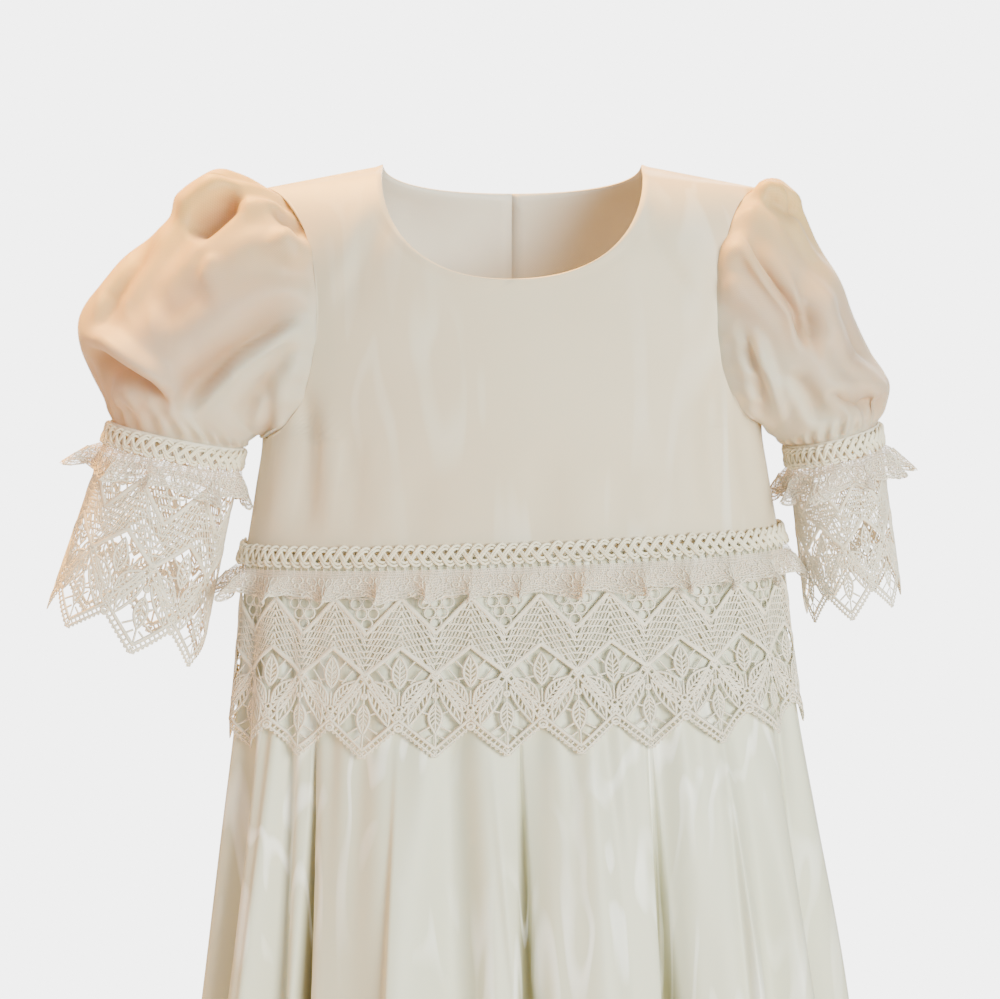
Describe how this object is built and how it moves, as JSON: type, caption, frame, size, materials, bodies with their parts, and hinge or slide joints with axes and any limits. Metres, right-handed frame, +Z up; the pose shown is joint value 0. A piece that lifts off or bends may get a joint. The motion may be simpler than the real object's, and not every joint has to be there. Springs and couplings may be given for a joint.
{
  "type": "christening gown",
  "caption": "Baby's long christening gown, filled out and hollow: puff sleeves with pointed lace cuffs, plain bodice, braid, ruffle and lace peplum at the waist, folded skirt.",
  "frame": {"origin": "midway between the two neck points, at the top of the shoulders, where the wearer carries the gown", "axes": "+Z up, the gown's front faces -Y, +X is to the right as seen from the front; the side seams lie in the plane Y = 0"},
  "size_m": [0.4089, 0.2626, 0.76],
  "materials": {
    "bodice_organza": "cream organza over a plain lining, soft sheen",
    "sleeve_organza": "sheer cream organza, translucent",
    "skirt_satin": "ivory satin under a sheer overlay, soft sheen",
    "guipure_lace": "heavy open guipure lace, matt thread",
    "ruffle_lace": "narrow gathered scalloped lace",
    "gimp_braid": "interlaced corded gimp braid",
    "buttons": "small pearl-white buttons"
  },
  "bodies": {
    "root": {"bodice_front": "bodice_organza", "bodice_back_left": "bodice_organza", "bodice_back_right": "bodice_organza", "back_placket": "bodice_organza", "button_1": "buttons", "button_2": "buttons", "button_3": "buttons", "skirt_front": "skirt_satin", "skirt_back": "skirt_satin", "waist_lace": "guipure_lace", "waist_braid": "gimp_braid", "waist_ruffle": "ruffle_lace", "sleeve_left": "sleeve_organza", "sleeve_right": "sleeve_organza", "cuff_lace_left": "guipure_lace", "cuff_lace_right": "guipure_lace", "cuff_braid_left": "gimp_braid", "cuff_braid_right": "gimp_braid", "cuff_ruffle_left": "ruffle_lace", "cuff_ruffle_right": "ruffle_lace"}
  },
  "joints": []
}
